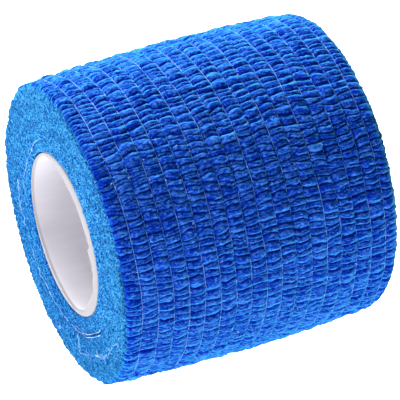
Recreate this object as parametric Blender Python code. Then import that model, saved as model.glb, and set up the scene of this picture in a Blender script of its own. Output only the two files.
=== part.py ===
"""A roll of cohesive bandage: crinkled elastic cloth wound on a white tube, lying on its side.

Metres, +Z up. The winding axis runs along X. The origin is on the surface, below the middle of the roll.
Angles round the axis are measured from +Y towards +Z.
"""

import math

import bmesh
import bpy

# Driving sizes of the roll
ROLL_WIDTH = 0.050
MID_RADIUS = 0.02695
CORE_RADIUS = 0.01425
CORE_WALL = 0.0013
GAP = 0.0003

# The cloth: its outer turn is gathered between elastic threads into bands that stand proud
PLY = 0.0005
BANDS = 18
POINTS_PER_BAND = 3
BAND_HEIGHT = 0.00035
CROWN = 0.0008
LEFT_EDGE_ROUND = 0.0013
RIGHT_EDGE_ROUND = 0.0022
FACE_RINGS = 4
FACE_DISH = 0.0002

# Where the outer turn ends, and the width of that cut edge round the roll
TAIL_ANGLE = math.radians(10)
TAIL_STEP = math.radians(0.8)

# The flat spot on which the roll lies
FLAT_HALF_WIDTH = 0.0065
FLAT_FADE = math.radians(30)

CORE_EDGE_ROUND = 0.0003
STEPS = 64

CLOTH_BLUE = (0.021, 0.152, 0.620, 1.0)
CORE_WHITE = (0.83, 0.82, 0.87, 1.0)

HALF_WIDTH = ROLL_WIDTH / 2
FLAT_ANGLE = math.asin(FLAT_HALF_WIDTH / MID_RADIUS)
AXIS_HEIGHT = MID_RADIUS * math.cos(FLAT_ANGLE)
BORE_RADIUS = CORE_RADIUS + GAP


def clear_scene():
    for obj in list(bpy.data.objects):
        bpy.data.objects.remove(obj)


def make_material(name, colour, roughness):
    material = bpy.data.materials.new(name)
    material.use_nodes = True
    shader = material.node_tree.nodes["Principled BSDF"]
    shader.inputs["Base Color"].default_value = colour
    shader.inputs["Roughness"].default_value = roughness
    shader.inputs["Metallic"].default_value = 0.0
    return material


def spin_profile(profile):
    """Turns a closed outline of (x, radius) points round the X axis into one closed mesh."""
    bm = bmesh.new()
    verts = [bm.verts.new((x, radius, 0.0)) for x, radius in profile]
    edges = [bm.edges.new(pair) for pair in zip(verts, verts[1:] + verts[:1])]
    bmesh.ops.spin(
        bm, geom=verts + edges, cent=(0, 0, 0), axis=(1, 0, 0),
        angle=2 * math.pi, steps=STEPS, use_merge=True, use_duplicate=False,
    )
    bmesh.ops.recalc_face_normals(bm, faces=bm.faces)
    return bm


def finish_object(bm, name, material):
    mesh = bpy.data.meshes.new(name)
    bm.to_mesh(mesh)
    bm.free()
    mesh.shade_smooth()
    mesh.set_sharp_from_angle(angle=math.radians(40))
    mesh.materials.append(material)
    obj = bpy.data.objects.new(name, mesh)
    bpy.context.scene.collection.objects.link(obj)
    obj.location = (0, 0, AXIS_HEIGHT)
    return obj


def edge_drop(distance, rounding):
    """How far a quarter-round edge lies below the surface, at a distance in from the end face."""
    distance = max(0.0, distance)
    if distance >= rounding:
        return 0.0
    return rounding - math.sqrt(rounding ** 2 - (rounding - distance) ** 2)


def outer_radius(x):
    """The roll's outer radius at x, before its bands: fullest in the middle, rounded at both edges."""
    radius = MID_RADIUS - CROWN * (x / HALF_WIDTH) ** 2
    radius -= edge_drop(x + HALF_WIDTH, LEFT_EDGE_ROUND)
    radius -= edge_drop(HALF_WIDTH - x, RIGHT_EDGE_ROUND)
    return radius


def cloth_profile():
    """The wound cloth's section, from the left of the outer surface round to the left face again."""
    segments = BANDS * POINTS_PER_BAND
    outer = []
    for i in range(segments + 1):
        x = -HALF_WIDTH + ROLL_WIDTH * i / segments
        at_thread = i % POINTS_PER_BAND == 0
        inside = 0 < i < segments
        radius = outer_radius(x)
        if at_thread and inside:
            radius -= BAND_HEIGHT
        outer.append((x, radius))

    def face(side, edge_radius):
        points = []
        for k in range(1, FACE_RINGS):
            share = k / FACE_RINGS
            radius = edge_radius + (BORE_RADIUS - edge_radius) * share
            dish = FACE_DISH * math.sin(math.pi * share)
            points.append((side * (HALF_WIDTH - dish), radius))
        return points

    right_face = face(1, outer[-1][1])
    left_face = face(-1, outer[0][1])[::-1]
    bore = [(HALF_WIDTH, BORE_RADIUS), (-HALF_WIDTH, BORE_RADIUS)]
    return outer + right_face + bore + left_face


def wind_cloth(bm):
    """Gives the turned cloth its winding: the outer turn rises round the roll and ends in a step."""
    step = 2 * math.pi / STEPS
    for vert in bm.verts:
        x, y, z = vert.co
        radius = math.hypot(y, z)
        index = round(math.atan2(z, y) / step) % STEPS
        turn = index / (STEPS - 1)
        angle = TAIL_ANGLE + turn * (2 * math.pi - TAIL_STEP)
        depth = (radius - BORE_RADIUS) / (MID_RADIUS - BORE_RADIUS)
        radius += PLY * (turn - 0.5) * max(0.0, depth) ** 2
        vert.co = (x, radius * math.cos(angle), radius * math.sin(angle))


def press_flat(bm):
    """Presses the bands out of the cloth that lies on the surface, and gives it a flat spot."""
    for vert in bm.verts:
        x, y, z = vert.co
        radius = math.hypot(y, z)
        if radius < (BORE_RADIUS + MID_RADIUS) / 2:
            continue
        from_bottom = abs(math.atan2(y, -z))
        smooth = min(1.0, max(0.0, (FLAT_FADE - from_bottom) / (FLAT_FADE - FLAT_ANGLE)))
        short = min(BAND_HEIGHT, max(0.0, outer_radius(x) - radius))
        radius += short * smooth
        scale = radius / math.hypot(y, z)
        vert.co = (x, y * scale, max(z * scale, -AXIS_HEIGHT))


def make_cloth():
    bm = spin_profile(cloth_profile())
    wind_cloth(bm)
    press_flat(bm)
    bmesh.ops.recalc_face_normals(bm, faces=bm.faces)
    return finish_object(bm, "wound_cloth", make_material("crinkled_cloth", CLOTH_BLUE, 0.85))


def make_core():
    """The white tube that the cloth is wound on, with its four cut edges rounded off."""
    inner = CORE_RADIUS - CORE_WALL
    end = HALF_WIDTH
    r = CORE_EDGE_ROUND
    profile = [
        (-end + r, CORE_RADIUS), (end - r, CORE_RADIUS), (end, CORE_RADIUS - r), (end, inner + r),
        (end - r, inner), (-end + r, inner), (-end, inner + r), (-end, CORE_RADIUS - r),
    ]
    bm = spin_profile(profile)
    return finish_object(bm, "core_tube", make_material("white_core", CORE_WHITE, 0.5))


clear_scene()
make_cloth()
make_core()
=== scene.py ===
"""A roll of cohesive bandage: crinkled elastic cloth wound on a white tube, lying on a white table."""

import math

import bmesh
import bpy
import numpy as np
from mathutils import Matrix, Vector


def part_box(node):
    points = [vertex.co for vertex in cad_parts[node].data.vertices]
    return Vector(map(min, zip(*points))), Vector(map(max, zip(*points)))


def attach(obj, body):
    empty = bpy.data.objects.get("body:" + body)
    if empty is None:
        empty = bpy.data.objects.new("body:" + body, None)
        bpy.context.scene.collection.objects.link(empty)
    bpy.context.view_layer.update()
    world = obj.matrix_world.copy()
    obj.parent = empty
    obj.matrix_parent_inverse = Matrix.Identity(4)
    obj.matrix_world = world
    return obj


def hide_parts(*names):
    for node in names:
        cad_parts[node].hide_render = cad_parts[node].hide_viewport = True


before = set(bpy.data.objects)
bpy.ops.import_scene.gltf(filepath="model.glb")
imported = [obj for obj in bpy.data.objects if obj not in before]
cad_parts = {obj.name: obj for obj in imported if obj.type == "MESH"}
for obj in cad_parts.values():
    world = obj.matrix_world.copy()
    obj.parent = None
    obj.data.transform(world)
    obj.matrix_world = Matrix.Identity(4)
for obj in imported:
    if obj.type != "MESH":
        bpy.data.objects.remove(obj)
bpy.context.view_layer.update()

# The core tube: white plastic with a thin wall, cut off square with a blade that left a burr on the inner
# edge at one end. The bandage is wound straight onto it.

MM = 0.001
core_low, core_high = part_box("core_tube")
AXIS_HEIGHT = (core_low.z + core_high.z) / 2 / MM
HALF_WIDTH = core_high.x / MM
CORE_RADIUS = (core_high.z - core_low.z) / 2 / MM
CORE_WALL = 1.3
CORE_EDGE = 0.18
CORE_EDGE_CUTS = 3
CORE_LENGTH_CUTS = 12
CORE_STEPS = 256
MOUTH = 1.2
FLARE = 0.68
RIM = (
    (0, 13.8), (40, 13.8), (56, 13.7), (78, 12.7), (98, 11.75), (117, 11.6), (135, 11.5), (152, 11.8),
    (164, 11.3), (176, 12.1), (217, 12.3), (237, 13.2), (255, 13.6), (281, 13.0), (312, 13.1), (338, 13.8),
    (360, 13.8),
)
RAGGED_FROM = 136
RAGGED_TO = 220
RAGGED_FADE = 12
RAGGED_WAVES = ((0.28, 8, 3), (0.50, 27, 4))
# How far into each mouth, and how far below the axis, the core is made paler with painted light.
PAINTED_LIGHT_DEPTH = (6, 1)
PAINTED_LIGHT_DROP = (7.5, 12.5)
CUT_DEPTH = (0.5, 0.02)
STREAK_SCALE = (60, 900, 900)
CORE_SHADED = (0.54, 0.525, 0.575, 1)
CORE_WHITE = (0.62, 0.605, 0.65, 1)
# The core's colour where painted light makes it paler, low inside each mouth.
CORE_PAINTED_LIGHT = (0.88, 0.865, 0.91, 1)
# The core's colour at its cut ends, darkened as painted shade.
CORE_CUT_PAINTED_SHADE = (0.255, 0.245, 0.26, 1)
NOISE_TABLE = 256


def eased(share):
    """A share from 0 to 1 that starts and stops gently."""
    return share * share * (3 - 2 * share)


def soft_noise(u, v, seed, wrap=NOISE_TABLE):
    """Soft random values from -1 to 1, one to a unit of u and v. They repeat after wrap units of v."""
    table = np.random.default_rng(seed).uniform(-1, 1, (NOISE_TABLE, wrap))
    row = np.floor(u).astype(int)
    column = np.floor(v).astype(int)
    a = eased(u - row)
    b = eased(v - column)
    row_next = (row + 1) % NOISE_TABLE
    column_next = (column + 1) % wrap
    row = row % NOISE_TABLE
    column = column % wrap
    near = table[row, column] * (1 - a) + table[row_next, column] * a
    far = table[row, column_next] * (1 - a) + table[row_next, column_next] * a
    return near * (1 - b) + far * b


def points_of(mesh):
    """The mesh's points as three arrays."""
    flat = np.empty(len(mesh.vertices) * 3)
    mesh.vertices.foreach_get("co", flat)
    return flat.reshape(-1, 3).T


def round_axis(x, radius, angle):
    """Points at a place along the roll, a radius from its axis and an angle round it, as x, y and z."""
    return x, radius * np.cos(angle), radius * np.sin(angle)


def place_points(mesh, x, y, z):
    """Puts the mesh's points at x, y and z in millimetres, y and z being measured from the roll's axis."""
    height = np.maximum(z + AXIS_HEIGHT, 0.0)
    flat = np.stack([x, y, height], axis=1) * MM
    mesh.vertices.foreach_set("co", flat.astype(np.float32).ravel())
    mesh.update()


def add_object(name, data):
    """Puts an object with this mesh, lens or light into the scene."""
    added = bpy.data.objects.new(name, data)
    bpy.context.scene.collection.objects.link(added)
    return added


def add_piece(mesh, material):
    """Adds the finished mesh as a smooth piece of the same name that rides on the roll."""
    mesh.shade_smooth()
    mesh.materials.append(material)
    piece = add_object(mesh.name, mesh)
    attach(piece, "root")
    return piece


def new_material(name):
    """A material, its node tree and its Principled shader."""
    material = bpy.data.materials.new(name)
    material.use_nodes = True
    tree = material.node_tree
    return material, tree, tree.nodes["Principled BSDF"]


def add_node(tree, kind, settings=None, inputs=None):
    """A node with its settings, and with each named input set to a value or linked to a socket."""
    node = tree.nodes.new(kind)
    for key, value in (settings or {}).items():
        setattr(node, key, value)
    for key, value in (inputs or {}).items():
        if isinstance(value, bpy.types.NodeSocket):
            tree.links.new(value, node.inputs[key])
        else:
            node.inputs[key].default_value = value
    return node


def calculated(tree, operation, *values):
    """What a Math node makes of the values."""
    return add_node(tree, "ShaderNodeMath", {"operation": operation}, dict(enumerate(values))).outputs[0]


def share_between(tree, value, low, high, clamp=True):
    """How far a value has come from low, which gives 0, to high, which gives 1."""
    limits = {"Value": value, "From Min": low, "From Max": high}
    return add_node(tree, "ShaderNodeMapRange", {"clamp": clamp}, limits).outputs["Result"]


def mixed_colour(tree, share, first, second):
    """The first colour, going over to the second as the share goes from 0 to 1."""
    mix = add_node(tree, "ShaderNodeMix", {"data_type": "RGBA"}, {"Factor": share, 6: first, 7: second})
    return mix.outputs[2]


def core_material():
    """White polystyrene: faint long streaks, paler low in each mouth as painted light, and darker at its cut
    ends as painted shade.
    """
    material, tree, shader = new_material("white_core_tube")
    place = add_node(tree, "ShaderNodeTexCoord").outputs["Object"]
    drawn_out = add_node(tree, "ShaderNodeMapping", inputs={"Vector": place, "Scale": STREAK_SCALE})
    streaks = add_node(
        tree, "ShaderNodeTexNoise",
        inputs={"Vector": drawn_out.outputs["Vector"], "Scale": 1.0, "Detail": 4.0},
    )
    streaked = mixed_colour(tree, streaks.outputs["Fac"], CORE_SHADED, CORE_WHITE)
    along = add_node(tree, "ShaderNodeSeparateXYZ", inputs={"Vector": place})
    out = calculated(tree, "ABSOLUTE", along.outputs["X"])
    # Painted light: the core is made paler low inside each mouth.
    inward = share_between(tree, out, *((HALF_WIDTH - depth) * MM for depth in PAINTED_LIGHT_DEPTH))
    low = share_between(tree, along.outputs["Z"], *((AXIS_HEIGHT - drop) * MM for drop in PAINTED_LIGHT_DROP))
    with_painted_light = mixed_colour(tree, calculated(tree, "MULTIPLY", inward, low), streaked, CORE_PAINTED_LIGHT)
    # Painted shade: the cut ends are made darker.
    at_cut = share_between(tree, out, *((HALF_WIDTH - depth) * MM for depth in CUT_DEPTH))
    tree.links.new(mixed_colour(tree, at_cut, with_painted_light, CORE_CUT_PAINTED_SHADE), shader.inputs["Base Color"])
    bump = add_node(
        tree, "ShaderNodeBump",
        inputs={"Height": streaks.outputs["Fac"], "Strength": 0.2, "Distance": 0.04 * MM},
    )
    tree.links.new(bump.outputs["Normal"], shader.inputs["Normal"])
    shader.inputs["Roughness"].default_value = 0.6
    shader.inputs["Specular IOR Level"].default_value = 0.12
    shader.inputs["Subsurface Weight"].default_value = 0.15
    shader.inputs["Subsurface Radius"].default_value = (1.0, 0.95, 0.95)
    shader.inputs["Subsurface Scale"].default_value = 0.001
    return material


def core_mesh():
    """The tube's section spun round the axis, then its inner edge at the near end drawn in as a ragged burr.

    On the side away from the burr the same edge is worn back.
    """
    inner = CORE_RADIUS - CORE_WALL
    bm = bmesh.new()
    section = []
    corners = (
        (-HALF_WIDTH, CORE_RADIUS, 180, 90), (HALF_WIDTH, CORE_RADIUS, 90, 0),
        (HALF_WIDTH, inner, 0, -90), (-HALF_WIDTH, inner, 270, 180),
    )
    for end, radius, first, last in corners:
        centre_x = end - math.copysign(CORE_EDGE, end)
        centre_r = radius - CORE_EDGE if radius == CORE_RADIUS else radius + CORE_EDGE
        if end < 0 and radius < CORE_RADIUS:
            section.append((end + MOUTH, radius))
        for k in range(CORE_EDGE_CUTS + 1):
            turn = math.radians(first + (last - first) * k / CORE_EDGE_CUTS)
            section.append((centre_x + CORE_EDGE * math.cos(turn), centre_r + CORE_EDGE * math.sin(turn)))
    verts = [bm.verts.new((x, radius, 0)) for x, radius in section]
    edges = [bm.edges.new(pair) for pair in zip(verts, verts[1:] + verts[:1])]
    long_edges = [e for e in edges if e.calc_length() > HALF_WIDTH]
    bmesh.ops.subdivide_edges(bm, edges=long_edges, cuts=CORE_LENGTH_CUTS)
    bmesh.ops.spin(
        bm, geom=bm.verts[:] + bm.edges[:], cent=(0, 0, 0), axis=(1, 0, 0),
        angle=2 * math.pi, steps=CORE_STEPS, use_merge=True, use_duplicate=False,
    )
    bmesh.ops.recalc_face_normals(bm, faces=bm.faces)
    mesh = bpy.data.meshes.new("core_tube_skin")
    bm.to_mesh(mesh)
    bm.free()
    x, y, z = points_of(mesh)
    radius = np.hypot(y, z)
    angle = np.arctan2(z, y) % (2 * math.pi)
    degrees = np.degrees(angle)
    rounding = CORE_EDGE * 1.01
    at_edge = (x < -HALF_WIDTH + rounding) & (radius < inner + rounding)
    at_mouth = np.isclose(x, -HALF_WIDTH + MOUTH, atol=1e-3) & (radius < inner + CORE_EDGE)
    bearings, edge_radii = zip(*RIM)
    begun = np.clip((degrees - RAGGED_FROM) / RAGGED_FADE, 0, 1)
    unfinished = np.clip((RAGGED_TO - degrees) / RAGGED_FADE, 0, 1)
    ragged = sum(height * soft_noise(angle * waves, angle * 0, seed) for height, waves, seed in RAGGED_WAVES)
    shift = np.interp(degrees, bearings, edge_radii) + begun * unfinished * ragged - inner
    shift = np.where(at_edge, shift, np.where(at_mouth, FLARE * np.maximum(shift, 0), 0))
    place_points(mesh, *round_axis(x, radius + shift, angle))
    return mesh


core = add_piece(core_mesh(), core_material())
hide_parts("core_tube")

# The outer turn of the bandage: two thin non-woven webs stuck together over stretched elastic threads. When
# the threads draw back, the cloth between them gathers into puffed crinkles that run across the threads.

cloth_low, cloth_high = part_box("wound_cloth")
UNDER_BOX = 0.1
ROLL_RADIUS = (cloth_high.y - cloth_low.y) / 2 / MM - UNDER_BOX
TURN_LENGTH = 2 * math.pi * ROLL_RADIUS
CROWN = 0.8
PLY = 0.5
TAIL_ANGLE = math.radians(10)
TAIL_OVERLAP = 0.004
TAIL_PRESSED = 0.25
BANDS = 18
BAND_WIDTH = 2 * HALF_WIDTH / BANDS
BAND_BLEND = 0.12
CRINKLE_PITCH = 1.14
CRINKLE_HEIGHT = 0.68
CRINKLE_DEPTH = 0.45
CRINKLE_JITTER = 0.28
CRINKLE_STRAY = 0.29
CRINKLE_LOSS = 0.13
WIDE_GAP = 1.75 * CRINKLE_PITCH
LEAST_GAP = 0.42
MOST_CRINKLES = 400
BOW = 0.42
LEAN = 0.55
SMALL_WAVES = 0.2
SECOND_FOLD = 0.2
DRAWN_IN = 0.45
SHOULDER = 0.29
SHOULDER_SPREAD = 0.11
GROOVE_DEPTH = 0.17
GROOVE_SPREAD = 0.24
WRINKLE_HEIGHT = 0.07
GRAIN_HEIGHT = 0.06
NEAR_EDGE = 0.9
FAR_EDGE = 2.2
FAR_SMOOTH = 0.8
TUCK = 1.0
TUCKED_TO = 0.4
LOWEST = 0.5
LOWEST_LIFT = 0.36
DRAWN_UP = 0.6
DRAWN_UP_BEARING = 258
DRAWN_UP_SPREAD = 30
TURN_CUTS = 1250
HALF_CUTS = 78
CROWDING = 0.5
MIDDLE_STOP = 0.55
# The outer cloth's painted shade in the folds, its slopes, its painted highlight on the crests, and its
# painted sheen seen aslant.
OUTER_COLOURS = (
    (0.0001, 0.006, 0.35, 1), (0.0012, 0.042, 0.49, 1), (0.060, 0.245, 0.87, 1), (0.050, 0.54, 0.62, 1),
)


def next_starts(starts):
    """Where the crinkle after each one begins. The last is followed by the first, one turn on."""
    return np.append(starts[1:], starts[0] + TURN_LENGTH)


def crinkle_lines():
    """For each band, where its crinkles begin round the turn, in millimetres.

    Most of them run on from the last band's.
    """
    rng = np.random.default_rng(21)
    count = round(TURN_LENGTH / CRINKLE_PITCH)
    jitter = rng.uniform(-CRINKLE_JITTER, CRINKLE_JITTER, count)
    starts = np.sort((np.arange(count) + jitter) * TURN_LENGTH / count)
    bands = []
    for _ in range(BANDS):
        bands.append(starts)
        moved = starts + rng.normal(0, CRINKLE_STRAY, len(starts))
        moved = np.sort(moved[rng.uniform(size=len(moved)) > CRINKLE_LOSS])
        gaps = next_starts(moved) - moved
        wide = gaps > WIDE_GAP
        added = moved[wide] + gaps[wide] / 2
        moved = np.sort(np.append(moved, added) % TURN_LENGTH)
        starts = moved[next_starts(moved) - moved > LEAST_GAP]
    return bands


BAND_CRINKLES = crinkle_lines()
BAND_SIZES = [np.random.default_rng(300 + b).uniform(0.72, 1.12, MOST_CRINKLES) for b in range(BANDS)]
BAND_TONES = [np.random.default_rng(600 + b).normal(0, 0.075, MOST_CRINKLES) for b in range(BANDS)]


def thread_shift(x, turn):
    """How far the threads wander sideways."""
    slow = soft_noise(x / 6, turn * 20, 31, 20)
    quick = soft_noise(x / 3, turn * 90, 32, 90)
    return 0.16 * slow + 0.05 * quick


def band_height(band, across, arc):
    """One band's puffed crinkles: their height, and how near each point is to a crest.

    Both run from 0 to about 1. Across is 0 to 1 from thread to thread, and arc is the way round the turn in
    millimetres.
    """
    wander = soft_noise(arc / 2.1, across * 0 + band, 40 + band)
    lean = soft_noise(arc / 3.3, across * 0 + band, 70 + band)
    fine = soft_noise(arc / 0.7, across * 3.2, 100 + band)
    arch = 4 * across * (1 - across)
    bent = arc + BOW * wander * arch + LEAN * lean * (across - 0.5) + SMALL_WAVES * fine
    starts = BAND_CRINKLES[band]
    bent = (bent - starts[0]) % TURN_LENGTH + starts[0]
    index = np.searchsorted(starts, bent, side="right") - 1
    width = next_starts(starts)[index] - starts[index]
    share = (bent - starts[index]) / width
    puff = np.clip(4 * share * (1 - share), 0, 1)
    narrow = np.clip(width / CRINKLE_PITCH, 0.4, 1.25)
    size = BAND_SIZES[band][index] * narrow ** 0.7
    folded = np.abs(np.sin(math.pi * (2 * share + 0.8 * fine)))
    second = SECOND_FOLD * folded * np.clip(narrow - 0.4, 0, 1)
    drawn_in = 1 - DRAWN_IN * np.abs(2 * across - 1) ** 3
    shoulder = np.exp(-((np.abs(share - 0.5) - SHOULDER) / SHOULDER_SPREAD) ** 2)
    # The crest value sets the colour: painted highlight on each puff and round its shoulders, painted shade
    # in its second fold, and a random tone for each crinkle.
    crest = 0.7 * puff ** 0.7 + 0.42 * shoulder - second + BAND_TONES[band][index]
    return (puff ** 0.6 * size - second) * drawn_in, crest


def crinkle(x, turn):
    """The outer turn's height over its mean surface in millimetres, and how near each point is to a crest,
    which the cloth's colour shows as painted highlight on the crests and painted shade in the folds and at
    the threads.
    """
    arc = (turn % 1.0) * TURN_LENGTH
    shifted = np.clip(x, -HALF_WIDTH, HALF_WIDTH) + thread_shift(x, turn)
    place = (shifted + HALF_WIDTH) / BAND_WIDTH
    total = np.zeros_like(place)
    crest = np.zeros_like(place)
    for band in range(BANDS):
        weight = np.ones_like(place)
        if band > 0:
            weight = weight * eased(np.clip((place - band + BAND_BLEND) / (2 * BAND_BLEND), 0, 1))
        if band < BANDS - 1:
            weight = weight * eased(np.clip((band + 1 + BAND_BLEND - place) / (2 * BAND_BLEND), 0, 1))
        used = weight > 0
        height, top = band_height(band, np.clip(place[used] - band, 0, 1), arc[used])
        total[used] += weight[used] * height
        crest[used] += weight[used] * top
    to_thread = np.abs(place - np.round(place)) * BAND_WIDTH
    groove = np.exp(-(to_thread / GROOVE_SPREAD) ** 2)
    loose = 1 + 0.28 * soft_noise(x / 7, turn * 24, 51, 24)
    wrinkle = 1 - 2.2 * np.abs(soft_noise(x / 0.9 + 40, turn * 300, 52, 300))
    grain = soft_noise(x / 0.42 + 40, turn * 430, 53, 430)
    height = (CRINKLE_HEIGHT * total - CRINKLE_DEPTH) * loose - GROOVE_DEPTH * groove
    height = height + WRINKLE_HEIGHT * wrinkle + GRAIN_HEIGHT * grain
    # The wrinkles add painted highlight on their ridges and the grooves add painted shade at the threads; the
    # grain is a random tone.
    return height, crest + 0.18 * wrinkle + 0.18 * grain - 0.15 * groove


def turn_angle(turn):
    """The angle round the axis at a share of the outer turn, which starts at the cut end."""
    return TAIL_ANGLE + 2 * math.pi * turn


def turn_radius(x, turn):
    """The outer turn's mean radius: fullest in the middle of the roll, and rising by one ply in a turn.

    Under the roll it draws in towards the near edge.
    """
    uneven = 0.12 * soft_noise(x / 14, turn * 7, 61, 7)
    low = np.exp(-((np.degrees(turn_angle(turn)) - DRAWN_UP_BEARING) / DRAWN_UP_SPREAD) ** 2)
    drawn_up = DRAWN_UP * low * np.clip((-x - 0.5 * HALF_WIDTH) / (0.5 * HALF_WIDTH), 0, 1) ** 2
    return ROLL_RADIUS - CROWN * (x / HALF_WIDTH) ** 2 + PLY * (turn - 0.5) + uneven - drawn_up


def wrap_edge(across, edge):
    """Where a strip goes that is laid over a rounded edge: its distance along the roll, drop and slope."""
    start = HALF_WIDTH - edge
    slope = np.clip((across - start) / edge, 0, math.pi / 2)
    beyond = np.maximum(across - start - edge * math.pi / 2, 0)
    flat = np.minimum(across, start)
    return flat + edge * np.sin(slope), edge * (1 - np.cos(slope)) + beyond, slope


def cloth_grid(name, columns, rows, side, mapped):
    """A flat grid from -0.5 to 0.5, with a UV map if it is mapped, whose faces suit that side of the roll."""
    bm = bmesh.new()
    if mapped:
        bm.loops.layers.uv.new("UVMap")
    bmesh.ops.create_grid(bm, x_segments=columns, y_segments=rows, size=0.5, calc_uvs=mapped)
    if side > 0:
        bmesh.ops.reverse_faces(bm, faces=bm.faces)
    mesh = bpy.data.meshes.new(name)
    bm.to_mesh(mesh)
    bm.free()
    return mesh


def keep_relief(mesh, values):
    """Stores a value for each point, mostly how raised it is, which the cloth's material reads as painted
    shade where it is low and painted highlight where it is high.
    """
    relief = mesh.attributes.new("relief", "FLOAT", "POINT")
    relief.data.foreach_set("value", values.astype(np.float32))


def stretch_uv(mesh, width, height):
    """Stretches the mesh's UV map to the cloth's real size, in millimetres."""
    uv = mesh.uv_layers["UVMap"].data
    flat = np.empty(len(uv) * 2, np.float32)
    uv.foreach_get("uv", flat)
    flat = flat.reshape(-1, 2)
    flat[:, 0] *= width
    flat[:, 1] *= height
    uv.foreach_set("uv", flat.ravel())


def outer_half(name, side, edge, smooth):
    """Half of the outer turn, from the middle thread to one edge of the roll, laid over it and tucked in.

    Its points crowd together at the threads, where the cloth dips. Smooth is how far its crinkles are
    flattened where it turns over the edge.
    """
    mesh = cloth_grid(name, HALF_CUTS, TURN_CUTS, side, True)
    u, v, _ = points_of(mesh)
    reach = HALF_WIDTH - edge + edge * math.pi / 2 + TUCK
    turn = v + 0.5
    place = (u + 0.5) * reach / BAND_WIDTH
    across = (place - CROWDING * np.sin(2 * math.pi * place) / (2 * math.pi)) * BAND_WIDTH
    across = across - side * thread_shift(side * across, turn)
    cut = np.clip((turn - 1 + TAIL_OVERLAP) / TAIL_OVERLAP, 0, 1)
    along, drop, slope = wrap_edge(across, edge)
    turned = np.clip(slope, 0, 1)
    x = side * along
    height, crest = crinkle(x, turn)
    height = np.maximum(height, -LOWEST + LOWEST_LIFT * turned) * (1 - smooth * turned)
    calm = 1 - np.clip((drop - edge) / TUCK, 0, 1)
    height = height * calm - TUCKED_TO * (1 - calm)
    radius = turn_radius(x, turn) - drop + height * np.cos(slope)
    radius = radius - (PLY + TAIL_PRESSED) * cut ** 3
    x = x + side * height * np.sin(slope)
    place_points(mesh, *round_axis(x, radius, turn_angle(turn)))
    # Painted shade: the far half is darker where it turns over the edge and towards the far end. The near
    # half is darker close to the near edge, and the colour is paler along the tail's cut end.
    if side > 0:
        crest = crest - 0.4 * turned - 0.12 * (along / HALF_WIDTH) ** 2
    else:
        crest = crest - 0.30 * np.exp(-((HALF_WIDTH - along) / 1.5) ** 2)
    keep_relief(mesh, crest + 1.2 * cut * (1 - cut))
    stretch_uv(mesh, reach * side, TURN_LENGTH)
    return mesh


def fibre_group():
    """The cloth's short fibres as a fine felt, wide paler patches, and thin lines where it is creased, which
    the cloth's colour shows as painted highlights.
    """
    group = bpy.data.node_groups.new("cloth_fibres", "ShaderNodeTree")
    group.interface.new_socket("Vector", in_out="INPUT", socket_type="NodeSocketVector")
    group.interface.new_socket("Scale", in_out="INPUT", socket_type="NodeSocketFloat")
    for name in ("Fibres", "Patches", "Creases"):
        group.interface.new_socket(name, in_out="OUTPUT", socket_type="NodeSocketFloat")
    source = group.nodes.new("NodeGroupInput")
    result = group.nodes.new("NodeGroupOutput")
    place = source.outputs["Vector"]
    scale = source.outputs["Scale"]
    fine = add_node(
        group, "ShaderNodeTexNoise",
        inputs={"Vector": place, "Scale": scale, "Detail": 2.0, "Roughness": 0.65, "Distortion": 0.8},
    )
    wide = calculated(group, "MULTIPLY", scale, 0.18)
    patches = add_node(
        group, "ShaderNodeTexNoise", inputs={"Vector": place, "Scale": wide, "Detail": 3.0, "Roughness": 0.6},
    )
    stretched = add_node(
        group, "ShaderNodeVectorMath", {"operation": "MULTIPLY"}, {0: place, 1: (0.6, 1.5, 1.0)},
    )
    folds = calculated(group, "MULTIPLY", scale, 0.5)
    bends = add_node(
        group, "ShaderNodeTexNoise",
        inputs={"Vector": stretched.outputs[0], "Scale": folds, "Detail": 2.0, "Distortion": 0.5},
    )
    level = calculated(group, "SUBTRACT", bends.outputs["Fac"], 0.5)
    creases = share_between(group, calculated(group, "ABSOLUTE", level), 0.07, 0.0)
    group.links.new(fine.outputs["Fac"], result.inputs["Fibres"])
    group.links.new(patches.outputs["Fac"], result.inputs["Patches"])
    group.links.new(creases, result.inputs["Creases"])
    return group


FIBRES = fibre_group()


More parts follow.
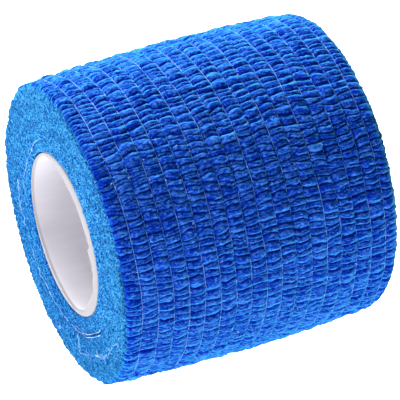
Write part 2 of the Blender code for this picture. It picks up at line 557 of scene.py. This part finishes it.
def cloth_material(name, colours, coordinates, scale, shares, bump_mm, relief_range):
    """Blue non-woven cloth: painted shade in the folds, a painted highlight on the crests, and a painted
    sheen where the fibre ends are seen aslant.

    Colours are those of the painted shade in the folds, the slopes, the painted highlight on the crests and
    the painted sheen. Shares are how far the felt, the patches and the creases shift the colour; the creases'
    shift is a painted highlight.
    """
    felt, patches, creases = shares
    deep, sloping, light, sheen_colour = colours
    material, tree, shader = new_material(name)
    place = add_node(tree, "ShaderNodeTexCoord").outputs[coordinates]
    fibres = add_node(tree, "ShaderNodeGroup", {"node_tree": FIBRES}, {"Vector": place, "Scale": scale})
    relief = add_node(tree, "ShaderNodeAttribute", {"attribute_name": "relief"}).outputs["Fac"]
    total = share_between(tree, relief, *relief_range, clamp=False)
    for output, share in (("Fibres", felt), ("Patches", patches), ("Creases", creases)):
        total = calculated(tree, "MULTIPLY_ADD", fibres.outputs[output], share, total)
    middle = (felt + patches) / 2 + creases * 0.35
    shade = share_between(tree, total, middle, middle + 1)
    # Painted shade and highlight: low relief values get the dark fold colour, high ones the pale crest
    # colour.
    ramp = add_node(tree, "ShaderNodeValToRGB", inputs={"Fac": shade})
    ramp.color_ramp.elements[0].color = deep
    ramp.color_ramp.elements[1].color = light
    ramp.color_ramp.elements.new(MIDDLE_STOP).color = sloping
    # Painted sheen: the colour goes over to the sheen colour where the surface is seen aslant.
    aslant = add_node(tree, "ShaderNodeLayerWeight", inputs={"Blend": 0.5})
    painted_sheen = calculated(tree, "MULTIPLY", calculated(tree, "POWER", aslant.outputs["Facing"], 2.5), 0.85)
    with_painted_sheen = mixed_colour(tree, painted_sheen, ramp.outputs["Color"], sheen_colour)
    tree.links.new(with_painted_sheen, shader.inputs["Base Color"])
    raised = calculated(tree, "MULTIPLY_ADD", fibres.outputs["Creases"], creases, fibres.outputs["Fibres"])
    bump = add_node(
        tree, "ShaderNodeBump", inputs={"Height": raised, "Strength": 1.0, "Distance": bump_mm * MM},
    )
    tree.links.new(bump.outputs["Normal"], shader.inputs["Normal"])
    shader.inputs["Roughness"].default_value = 0.8
    shader.inputs["Specular IOR Level"].default_value = 0.03
    shader.inputs["Sheen Weight"].default_value = 0.3
    shader.inputs["Sheen Roughness"].default_value = 0.35
    shader.inputs["Sheen Tint"].default_value = (0.01, 0.5, 1.0, 1)
    return material


outer_cloth = cloth_material(
    "crinkled_blue_cloth", OUTER_COLOURS, "UV", scale=2.8, shares=(1.5, 0.2, 0.40), bump_mm=0.17,
    relief_range=(-0.15, 1.15),
)
near_half = add_piece(outer_half("outer_turn_near", -1, NEAR_EDGE, 0), outer_cloth)
add_piece(outer_half("outer_turn_far", 1, FAR_EDGE, FAR_SMOOTH), outer_cloth)
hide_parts("wound_cloth")

# The wound ends: the edges of all the turns under the outer one, slit clean and pressed together, so that
# each end is a disc of fine crinkled edges with fibres standing out of it.

END_PITCH = 0.42
END_RINGS = 118
END_STEPS = 840
END_RELIEF = 0.19
END_PROUD = 0.06
NEAR_SEED = 400
FAR_SEED = 500
TOOTH = 1.0
TOOTH_INSET = 0.4
HEM = 0.45
HEM_RINGS = 1.5
RIM_DROP = 0.34
SEAM = 0.015
CORE_GAP = 0.08
GAPE = 0.28
GAPES = ((38, 9), (255, 8))
LIP = 0.5
LOW_SHADE = 0.075
PARTED_WIDTH = 0.15
PARTED_FADE = 8
PARTED = (
    (0.85, ((18.15, 206), (17.50, 225), (17.58, 240), (17.35, 256))),
    (0.30, ((17.6, -10), (16.4, 8), (15.8, 26.4), (16.5, 63))),
)
# The wound ends' painted shade in the hollows, their slopes, their painted highlight on the raised parts, and
# their painted sheen seen aslant.
END_COLOURS = (
    (0.0001, 0.032, 0.20, 1), (0.006, 0.120, 0.43, 1), (0.070, 0.35, 0.64, 1), (0.040, 0.29, 0.62, 1),
)


def end_relief(radius, turn, seed):
    """The height of a wound end over its flat disc, in millimetres."""
    angle = 2 * math.pi * turn
    y = radius * np.cos(angle)
    z = radius * np.sin(angle)
    wave = 0.17 * soft_noise(radius / END_PITCH, turn * 230, seed, 230)
    wave = wave + 0.07 * soft_noise(radius / 0.8, turn * 420, seed + 1, 420)
    ply = np.abs(np.sin(math.pi * ((radius + wave) / END_PITCH - turn)))
    grain = soft_noise(y / 0.31 + 90, z / 0.31 + 90, seed + 2)
    coarse = soft_noise(y / 0.75 + 90, z / 0.75 + 90, seed + 3)
    broad = soft_noise(y / 5 + 90, z / 5 + 90, seed + 4)
    ring = soft_noise(radius / 1.2, turn * 9, seed + 5, 9)
    return END_RELIEF * (ply - 0.6) + 0.17 * grain + 0.08 * coarse + 0.10 * broad + 0.06 * ring


def parted_depth(radius, degrees):
    """How far the near end drops where two turns have come a little apart."""
    drop = np.zeros_like(radius)
    for depth, line in PARTED:
        radii, bearings = zip(*line)
        bearing = (degrees - bearings[0]) % 360
        length = bearings[-1] - bearings[0]
        middle = np.interp(bearing, np.array(bearings) - bearings[0], radii)
        fade = np.clip(bearing / PARTED_FADE, 0, 1) * np.clip((length - bearing) / PARTED_FADE, 0, 1)
        drop += depth * fade * np.exp(-((radius - middle) / PARTED_WIDTH) ** 2)
    return drop


def weld(mesh, distance, closed):
    """Merges the points that meet, and turns a closed shell's faces outwards."""
    bm = bmesh.new()
    bm.from_mesh(mesh)
    bmesh.ops.remove_doubles(bm, verts=bm.verts, dist=distance)
    if closed:
        bmesh.ops.recalc_face_normals(bm, faces=bm.faces)
    bm.to_mesh(mesh)
    bm.free()


def wound_end(name, side, edge, seed):
    """One end of the roll: a disc from the core out to where the outer turn folds over its edge.

    Its rim runs in and out between the ends of the crinkles, and is turned in under them.
    """
    mesh = cloth_grid(name, END_RINGS, END_STEPS, side, False)
    u, v, _ = points_of(mesh)
    share = u + 0.5
    turn = v + 0.5
    seam = eased(np.clip((turn - 1 + SEAM) / SEAM, 0, 1))
    fold_line = turn_radius(np.full_like(turn, side * HALF_WIDTH), turn) - PLY * seam
    crest = crinkle(np.full_like(turn, side * (HALF_WIDTH - TOOTH_INSET)), turn)[1]
    rim = fold_line - RIM_DROP - TOOTH * np.clip(crest - 0.35, -0.3, 0.7)
    degrees = (math.degrees(TAIL_ANGLE) + 360 * turn) % 360
    gape = sum(np.exp(-((degrees - bearing) / spread) ** 2) for bearing, spread in GAPES)
    bore = CORE_RADIUS + CORE_GAP + GAPE * gape
    radius = bore + (rim - bore) * share
    drop = np.clip(fold_line - radius, 0, edge)
    slope = np.arccos(1 - drop / edge)
    relief = end_relief(radius, turn, seed)
    if side < 0:
        relief = relief - parted_depth(radius, degrees)
    lip = np.clip((radius - bore) / LIP, 0, 1)
    relief = relief * (0.4 + 0.6 * lip) - 0.35 * (1 - lip) ** 2
    hem = np.clip((share - 1) * END_RINGS / HEM_RINGS + 1, 0, 1)
    rise = relief - HEM * hem
    along = HALF_WIDTH - edge + edge * np.sin(slope) + (rise + END_PROUD) * np.sin(slope)
    radius = radius + rise * np.cos(slope)
    place_points(mesh, *round_axis(side * along, radius, turn_angle(turn)))
    # The end's colour follows its relief: painted shade in the hollows, at the gap by the core and along the
    # parted lines, and painted highlight on the raised fibres. LOW_SHADE is a painted shade that darkens the
    # disc towards its bottom.
    keep_relief(mesh, relief - LOW_SHADE * (1 + np.cos(np.radians(degrees - 270))) ** 2)
    weld(mesh, 1e-7, False)
    return mesh


end_cloth = cloth_material(
    "wound_edges_cloth", END_COLOURS, "Object", scale=2650.0, shares=(5.8, 0.3, 0.0), bump_mm=0.24,
    relief_range=(-0.42, 0.44),
)
add_piece(wound_end("wound_end_near", -1, NEAR_EDGE, NEAR_SEED), end_cloth)
add_piece(wound_end("wound_end_far", 1, FAR_EDGE, FAR_SEED), end_cloth)

# The elastic threads of the outer turn: pale fine spandex, one between each two bands. They lie in the cloth
# and show through it, and vanish where a crinkle closes over them.

THREAD_RADIUS = 0.045
THREAD_SIDES = 4
THREAD_STEPS = 900
THREAD_LIFT = 0.06
THREAD_LIFT_RANGE = 0.05
THREAD_BRIDGE = (-1.2, -0.6, 0.0, 0.6, 1.2)
ELASTIC_DULL = (0.035, 0.17, 0.72, 1)
ELASTIC_BRIGHT = (0.22, 0.48, 1.0, 1)


def thread_material(name, dull, bright):
    """Spandex with a fine down of broken cloth fibres: pale, with bluer stretches."""
    material, tree, shader = new_material(name)
    place = add_node(tree, "ShaderNodeTexCoord").outputs["Object"]
    noise = add_node(tree, "ShaderNodeTexNoise", inputs={"Vector": place, "Scale": 420.0, "Detail": 3.0})
    ramp = add_node(tree, "ShaderNodeValToRGB", inputs={"Fac": noise.outputs["Fac"]})
    for element, position, colour in zip(ramp.color_ramp.elements, (0.38, 0.62), (dull, bright)):
        element.position = position
        element.color = colour
    tree.links.new(ramp.outputs["Color"], shader.inputs["Base Color"])
    shader.inputs["Roughness"].default_value = 0.5
    shader.inputs["Sheen Weight"].default_value = 0.2
    return material


def tapered(share, rate):
    """1 along a line and 0 at its two ends. The rate is how quickly it rises."""
    return np.clip(np.minimum(share, 1 - share) * rate, 0, 1)


def tube_mesh(name, lines):
    """Thin tubes along lines. A line is its points, in millimetres from the axis, and its radius at each."""
    bm = bmesh.new()
    for points, _ in lines:
        bmesh.ops.create_grid(bm, x_segments=THREAD_SIDES, y_segments=len(points) - 1, size=0.5)
    mesh = bpy.data.meshes.new(name)
    bm.to_mesh(mesh)
    bm.free()
    round_tube = 2 * math.pi * np.arange(THREAD_SIDES + 1)[None, :, None] / THREAD_SIDES
    placed = []
    for points, radii in lines:
        tangent = np.gradient(points, axis=0)
        tangent /= np.linalg.norm(tangent, axis=1, keepdims=True)
        sideways = np.cross(tangent, (1.0, 0.0, 0.0))
        sideways /= np.linalg.norm(sideways, axis=1, keepdims=True)
        upward = np.cross(sideways, tangent)
        ring = np.cos(round_tube) * sideways[:, None] + np.sin(round_tube) * upward[:, None]
        placed.append((points[:, None] + ring * radii[:, None, None]).reshape(-1, 3))
    place_points(mesh, *np.concatenate(placed).T)
    weld(mesh, 1e-8, True)
    return mesh


def elastic_lines():
    """Where the seventeen elastic threads run round the roll, each following its groove."""
    turn = np.linspace(0, 1, THREAD_STEPS + 1)
    thickness = THREAD_RADIUS * tapered(turn, THREAD_STEPS)
    rng = np.random.default_rng(82)
    lines = []
    for number in range(1, BANDS):
        base = np.full_like(turn, -HALF_WIDTH + number * BAND_WIDTH)
        x = base - thread_shift(base, turn)
        level = np.mean([crinkle(x, turn + step / TURN_LENGTH)[0] for step in THREAD_BRIDGE], axis=0)
        lift = THREAD_LIFT + rng.uniform(-THREAD_LIFT_RANGE, THREAD_LIFT_RANGE)
        lift = lift + 0.09 * soft_noise(base * 1.3, turn * 12, 80, 12)
        lift = lift + 0.10 * soft_noise(base * 1.3, turn * 66, 81, 66)
        radius = turn_radius(x, turn) + level + lift
        lines.append((np.stack(round_axis(x, radius, turn_angle(turn)), axis=1), thickness))
    return lines


elastic = thread_material("pale_elastic_thread", ELASTIC_DULL, ELASTIC_BRIGHT)
add_piece(tube_mesh("elastic_threads", elastic_lines()), elastic)

# The loose fibres: a few threads that the slitting blade pulled free and that lie on the near end, the frayed
# edges of the turns that have come apart, tufts of lint, and broken fibre ends along the elastic threads.

LOOSE = (
    (0.040, -0.03, ((17.7, -6), (16.5, 8), (15.92, 26.4), (16.6, 59.5))),
    (0.035, 0.04, ((17.5, -9), (17.1, -2))),
    (0.070, 0.14, ((19.84, 354.5), (20.37, 344), (20.35, 335), (19.65, 329))),
    (0.065, 0.04, ((19.72, 317), (19.79, 312), (19.46, 306), (19.32, 300), (18.87, 294), (18.67, 285))),
    (0.055, 0.05, ((18.67, 285), (18.45, 276), (17.96, 265), (17.71, 253))),
    (0.045, 0.10, ((17.08, 256), (17.34, 240), (17.26, 225), (17.9, 208))),
    (0.050, 0.12, ((17.60, 256), (17.88, 240), (17.80, 225), (18.4, 213))),
    (0.060, 0.16, ((18.17, 252), (20.39, 252.5), (21.73, 252), (21.19, 244))),
    (0.045, 0.08, ((21.19, 244), (20.9, 229), (21.42, 224), (21.82, 218), (22.09, 207), (22.25, 202))),
    (0.045, 0.08, ((22.25, 202), (22.9, 198), (23.53, 195), (23.4, 191))),
    (0.060, 0.16, ((22.45, 281), (22.77, 279), (22.65, 276.6), (21.77, 275.6), (21.4, 278))),
)
LOOSE_STEPS = 110
LOOSE_TAPER = 30
SMOOTHED = 7
TUFTS = (
    (21.2, 243), (20.9, 229), (21.42, 224), (21.7, 220), (21.82, 218), (22.0, 208), (23.53, 195), (19.8, 350),
)
TUFT_FIBRES = 9
TUFT_POINTS = 12
TUFT_THICKNESS = 0.026
TURN_LINT = 220
TURN_LINT_POINTS = 9
LINT_TAPER = 8
LOOSE_DULL = (0.08, 0.34, 0.88, 1)
LOOSE_BRIGHT = (0.44, 0.69, 0.98, 1)


def on_near_end(radius, degrees, lift):
    """Points that lie on the near end, at a radius and a bearing, and the lift above it."""
    angle = np.radians(degrees)
    turn = ((angle - TAIL_ANGLE) / (2 * math.pi)) % 1.0
    padded = np.pad(end_relief(radius, turn, NEAR_SEED), SMOOTHED // 2, mode="edge")
    relief = np.convolve(padded, np.ones(SMOOTHED) / SMOOTHED, mode="valid")
    x = -(HALF_WIDTH + END_PROUD + relief + lift)
    return np.stack(round_axis(x, radius, angle), axis=1)


def curl(rng, points, bend, least_step, most_step):
    """A short line that sets out in any direction and bends by chance, as its ways along and across."""
    heading = rng.uniform(0, 2 * math.pi) + np.cumsum(rng.normal(0, bend, points))
    step = rng.uniform(least_step, most_step)
    return step * np.cumsum(np.cos(heading)), step * np.cumsum(np.sin(heading))


def loose_lines():
    """The threads that lie on the near end, each with its thickness, its lift and its points."""
    lines = []
    share = np.linspace(0, 1, LOOSE_STEPS + 1)
    for number, (thickness, lift, line) in enumerate(LOOSE):
        at = np.linspace(0, 1, len(line))
        radii, bearings = zip(*line)
        wobble = 0.10 * soft_noise(share * 0 + number * 5.3, share * 14, 90)
        wobble = wobble + 0.06 * soft_noise(share * 0 + number * 7.1, share * 37, 93)
        radius = np.interp(share, at, radii) + wobble
        degrees = np.interp(share, at, bearings)
        weave = lift + 0.07 * soft_noise(share * 0 + number * 5.3, share * 22, 91)
        lines.append((on_near_end(radius, degrees, weave), thickness * tapered(share, LOOSE_TAPER)))
    return lines


def tuft_lines():
    """The lint on the near end: short curled fibres round a few points."""
    rng = np.random.default_rng(92)
    share = np.linspace(0, 1, TUFT_POINTS)
    thickness = TUFT_THICKNESS * tapered(share, LINT_TAPER)
    arch = np.sin(math.pi * (0.15 + 0.75 * share))
    lines = []
    for centre, bearing in TUFTS:
        for _ in range(TUFT_FIBRES):
            outward, sideways = curl(rng, TUFT_POINTS, 0.45, 0.05, 0.09)
            radius = centre + rng.normal(0, 0.16) + outward
            degrees = bearing + rng.normal(0, 0.6) + np.degrees(sideways / centre)
            lift = rng.uniform(0.05, 0.28) * arch + 0.02
            lines.append((on_near_end(radius, degrees, lift), thickness))
    return lines


def turn_lint():
    """Broken fibre ends that stand out of the outer turn near its threads, each curled and very short."""
    rng = np.random.default_rng(94)
    share = np.linspace(0, 1, TURN_LINT_POINTS)
    arch = np.sin(math.pi * share)
    lines = []
    for _ in range(TURN_LINT):
        along, onward = curl(rng, TURN_LINT_POINTS, 0.6, 0.04, 0.09)
        thread = -HALF_WIDTH + rng.integers(1, BANDS) * BAND_WIDTH
        x = thread + rng.normal(0, 0.3) + along
        turn = rng.uniform(0.02, 0.98) + onward / TURN_LENGTH
        level = crinkle(x, turn)[0]
        radius = turn_radius(x, turn) + np.maximum(level, level.mean()) + 0.06 + 0.2 * arch
        thickness = rng.uniform(0.03, 0.05) * tapered(share, LINT_TAPER)
        lines.append((np.stack(round_axis(x, radius, turn_angle(turn)), axis=1), thickness))
    return lines


loose = thread_material("loose_pale_fibres", LOOSE_DULL, LOOSE_BRIGHT)
add_piece(tube_mesh("loose_fibres", loose_lines() + tuft_lines() + turn_lint()), loose)

# The studio: a white table top under two soft lights in a white room, and a long lens on the roll's near end
# and side.

CAMERA_AZIMUTH = math.radians(-24.82)
CAMERA_HEIGHT = math.radians(38.41)
CAMERA_DISTANCE = 0.589
CAMERA_LENS = 312.1
AIM_RIGHT = 0.000126
AIM_UP = -0.000657
LIGHT_AIM = (0, 0, 0.027)
KEY_PLACE = (-1.0, 0.05, 0.62)
KEY_SIZE = 0.45
KEY_POWER = 11.6
BACK_PLACE = (0.15, 0.85, 0.75)
BACK_SIZE = 0.5
BACK_POWER = 32.0
ROOM_COLOUR = (0.98, 0.99, 1.0, 1)
ROOM_LIGHT = 0.03
TABLE_HALF = 3.0
TABLE_GLOW = 1.83


def point_along(turned, direction):
    """Turns a camera or a light so that it looks along the direction."""
    turned.rotation_mode = "QUATERNION"
    turned.rotation_quaternion = direction.to_track_quat("-Z", "Y")


def soft_light(name, place, size, power):
    """A square soft box that faces the roll."""
    data = bpy.data.lights.new(name, "AREA")
    data.shape = "SQUARE"
    data.size = size
    data.energy = power
    light = add_object(name, data)
    light.location = place
    point_along(light, Vector(LIGHT_AIM) - Vector(place))


back = Vector((
    math.sin(CAMERA_AZIMUTH) * math.cos(CAMERA_HEIGHT),
    -math.cos(CAMERA_AZIMUTH) * math.cos(CAMERA_HEIGHT),
    math.sin(CAMERA_HEIGHT),
))
right = Vector((math.cos(CAMERA_AZIMUTH), math.sin(CAMERA_AZIMUTH), 0))
aim = Vector((0, 0, AXIS_HEIGHT * MM)) + right * AIM_RIGHT + back.cross(right) * AIM_UP
camera_data = bpy.data.cameras.new("studio_camera")
camera_data.lens = CAMERA_LENS
camera_data.clip_start = 0.01
camera_data.clip_end = 20
camera = add_object("studio_camera", camera_data)
camera.location = aim + back * CAMERA_DISTANCE
point_along(camera, -back)
bpy.context.scene.camera = camera

soft_light("key_left", KEY_PLACE, KEY_SIZE, KEY_POWER)
soft_light("top_back", BACK_PLACE, BACK_SIZE, BACK_POWER)

world = bpy.data.worlds.new("white_room")
world.use_nodes = True
seen = add_node(world.node_tree, "ShaderNodeLightPath").outputs["Is Camera Ray"]
glow = calculated(world.node_tree, "MAXIMUM", seen, ROOM_LIGHT)
backdrop = world.node_tree.nodes["Background"]
backdrop.inputs["Color"].default_value = ROOM_COLOUR
world.node_tree.links.new(glow, backdrop.inputs["Strength"])
bpy.context.scene.world = world
bpy.context.scene.view_settings.view_transform = "Standard"

bm = bmesh.new()
bmesh.ops.create_grid(bm, x_segments=1, y_segments=1, size=TABLE_HALF)
table_mesh = bpy.data.meshes.new("table_top")
bm.to_mesh(table_mesh)
bm.free()
table_finish, _, table_shader = new_material("white_table")
table_shader.inputs["Base Color"].default_value = (0.93, 0.93, 0.93, 1)
table_shader.inputs["Roughness"].default_value = 0.9
# The table top glows: a painted light that lights the roll from below and washes out its shadow.
table_shader.inputs["Emission Color"].default_value = (1, 1, 1, 1)
table_shader.inputs["Emission Strength"].default_value = TABLE_GLOW
table_mesh.materials.append(table_finish)
table_top = add_object("table_top", table_mesh)
